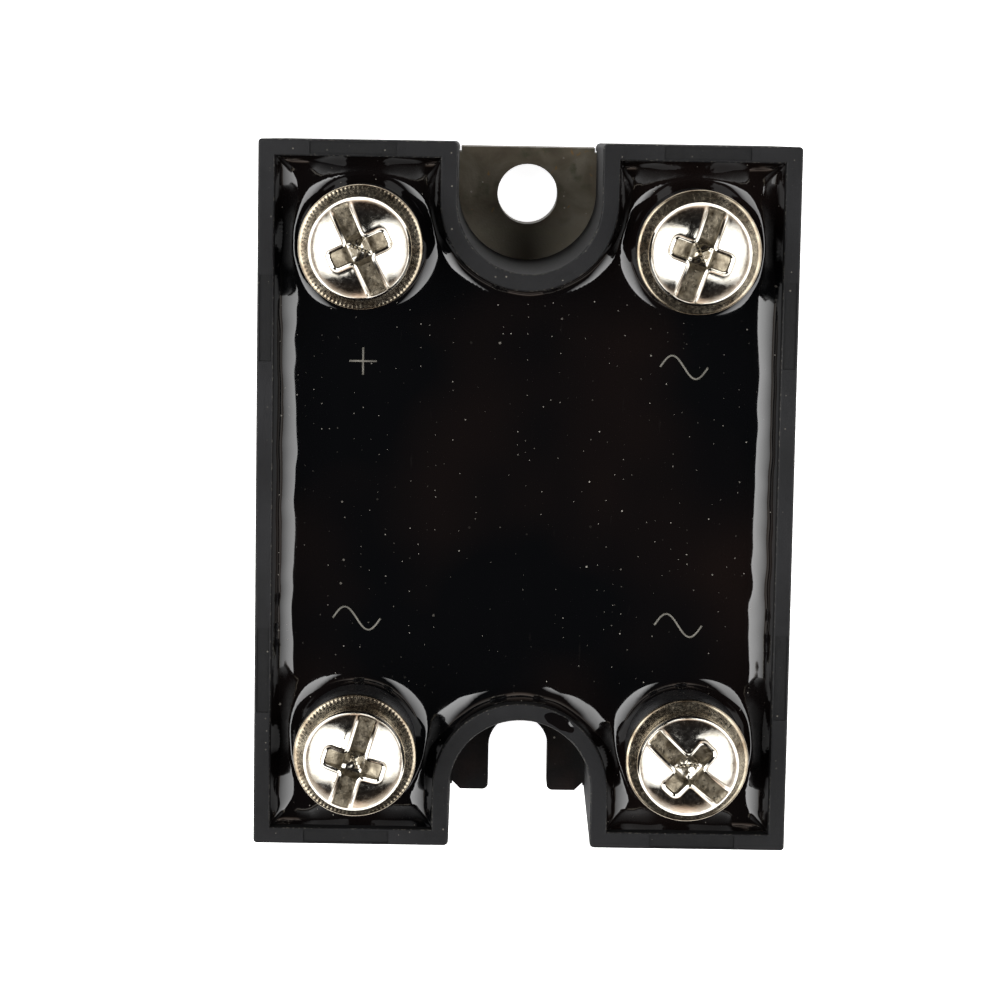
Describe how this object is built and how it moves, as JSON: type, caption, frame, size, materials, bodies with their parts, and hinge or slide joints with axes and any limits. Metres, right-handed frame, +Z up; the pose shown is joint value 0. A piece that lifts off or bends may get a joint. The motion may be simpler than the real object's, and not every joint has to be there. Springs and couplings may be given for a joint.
{
  "type": "power semiconductor module",
  "caption": "Flat rectangular potted power module: black case with a U notch at each end, metal base plate and raised screw terminals at the corners.",
  "frame": {"origin": "centre of the base plate's underside, which lies on z = 0", "axes": "+X across the case, +Y along the case towards the end with the round fixing hole, +Z up out of the terminals"},
  "size_m": [0.0436, 0.0576, 0.0279],
  "materials": {
    "housing_plastic": "satin, slightly sparkled moulded surface",
    "sleeve_plastic": "satin moulded",
    "resin": "cast, glossy",
    "plated_plate": "dull nickel plate with stains",
    "plated_steel": "bright nickel plate",
    "plated_brass": "nickel plated, turned",
    "copper": "bare copper, rolled",
    "solder": "dull solder",
    "silicon": "lapped silicon",
    "alumina": "fired, matt",
    "adhesive": "cured bead",
    "gel": "clear soft gel"
  },
  "bodies": {
    "root": {"anode_clip_ac1": "copper", "anode_clip_ac2": "copper", "anode_clip_ac3": "copper", "anode_copper_ac1": "copper", "anode_copper_ac2": "copper", "anode_copper_ac3": "copper", "base_plate": "plated_plate", "cathode_copper": "copper", "ceramic_substrate": "alumina", "die_solder_ac1": "solder", "die_solder_ac2": "solder", "die_solder_ac3": "solder", "diode_chip_ac1": "silicon", "diode_chip_ac2": "silicon", "diode_chip_ac3": "silicon", "housing_adhesive_bead": "adhesive", "housing_frame": "housing_plastic", "potting_resin": "resin", "silicone_gel": "gel", "substrate_back_copper": "copper", "substrate_solder": "solder", "terminal_post_ac1": "plated_brass", "terminal_post_ac2": "plated_brass", "terminal_post_ac3": "plated_brass", "terminal_post_plus": "plated_brass", "terminal_sleeve_ac1": "sleeve_plastic", "terminal_sleeve_ac2": "sleeve_plastic", "terminal_sleeve_ac3": "sleeve_plastic", "terminal_sleeve_plus": "sleeve_plastic", "terminal_strap_ac1": "copper", "terminal_strap_ac2": "copper", "terminal_strap_ac3": "copper", "terminal_strap_plus": "copper"},
    "washer_plus": {"terminal_washer_plus": "plated_steel"},
    "screw_plus": {"terminal_screw_plus": "plated_steel"},
    "washer_ac1": {"terminal_washer_ac1": "plated_steel"},
    "screw_ac1": {"terminal_screw_ac1": "plated_steel"},
    "washer_ac2": {"terminal_washer_ac2": "plated_steel"},
    "screw_ac2": {"terminal_screw_ac2": "plated_steel"},
    "washer_ac3": {"terminal_washer_ac3": "plated_steel"},
    "screw_ac3": {"terminal_screw_ac3": "plated_steel"}
  },
  "joints": [
    {"name": "washer_lift_plus", "type": "slide", "parent": "root", "child": "washer_plus", "axis": [0, 0, 1], "range_m": [0, 0.00317]},
    {"name": "screw_turn_plus", "type": "hinge", "parent": "washer_plus", "child": "screw_plus", "pos_m": [-0.0134, 0.0205, 0.0265], "axis": [0, 0, 1], "range_deg": [0, 1440]},
    {"name": "washer_lift_ac1", "type": "slide", "parent": "root", "child": "washer_ac1", "axis": [0, 0, 1], "range_m": [0, 0.00317]},
    {"name": "screw_turn_ac1", "type": "hinge", "parent": "washer_ac1", "child": "screw_ac1", "pos_m": [0.0134, 0.0205, 0.0265], "axis": [0, 0, 1], "range_deg": [0, 1440]},
    {"name": "washer_lift_ac2", "type": "slide", "parent": "root", "child": "washer_ac2", "axis": [0, 0, 1], "range_m": [0, 0.00317]},
    {"name": "screw_turn_ac2", "type": "hinge", "parent": "washer_ac2", "child": "screw_ac2", "pos_m": [-0.0134, -0.0205, 0.0265], "axis": [0, 0, 1], "range_deg": [0, 1440]},
    {"name": "washer_lift_ac3", "type": "slide", "parent": "root", "child": "washer_ac3", "axis": [0, 0, 1], "range_m": [0, 0.00317]},
    {"name": "screw_turn_ac3", "type": "hinge", "parent": "washer_ac3", "child": "screw_ac3", "pos_m": [0.0134, -0.0205, 0.0265], "axis": [0, 0, 1], "range_deg": [0, 1440]}
  ],
  "couplings": [
    {"joint": "screw_turn_plus", "follows": "washer_lift_plus", "rad_per_m": 7915.7},
    {"joint": "screw_turn_ac1", "follows": "washer_lift_ac1", "rad_per_m": 7915.7},
    {"joint": "screw_turn_ac2", "follows": "washer_lift_ac2", "rad_per_m": 7915.7},
    {"joint": "screw_turn_ac3", "follows": "washer_lift_ac3", "rad_per_m": 7915.7}
  ]
}
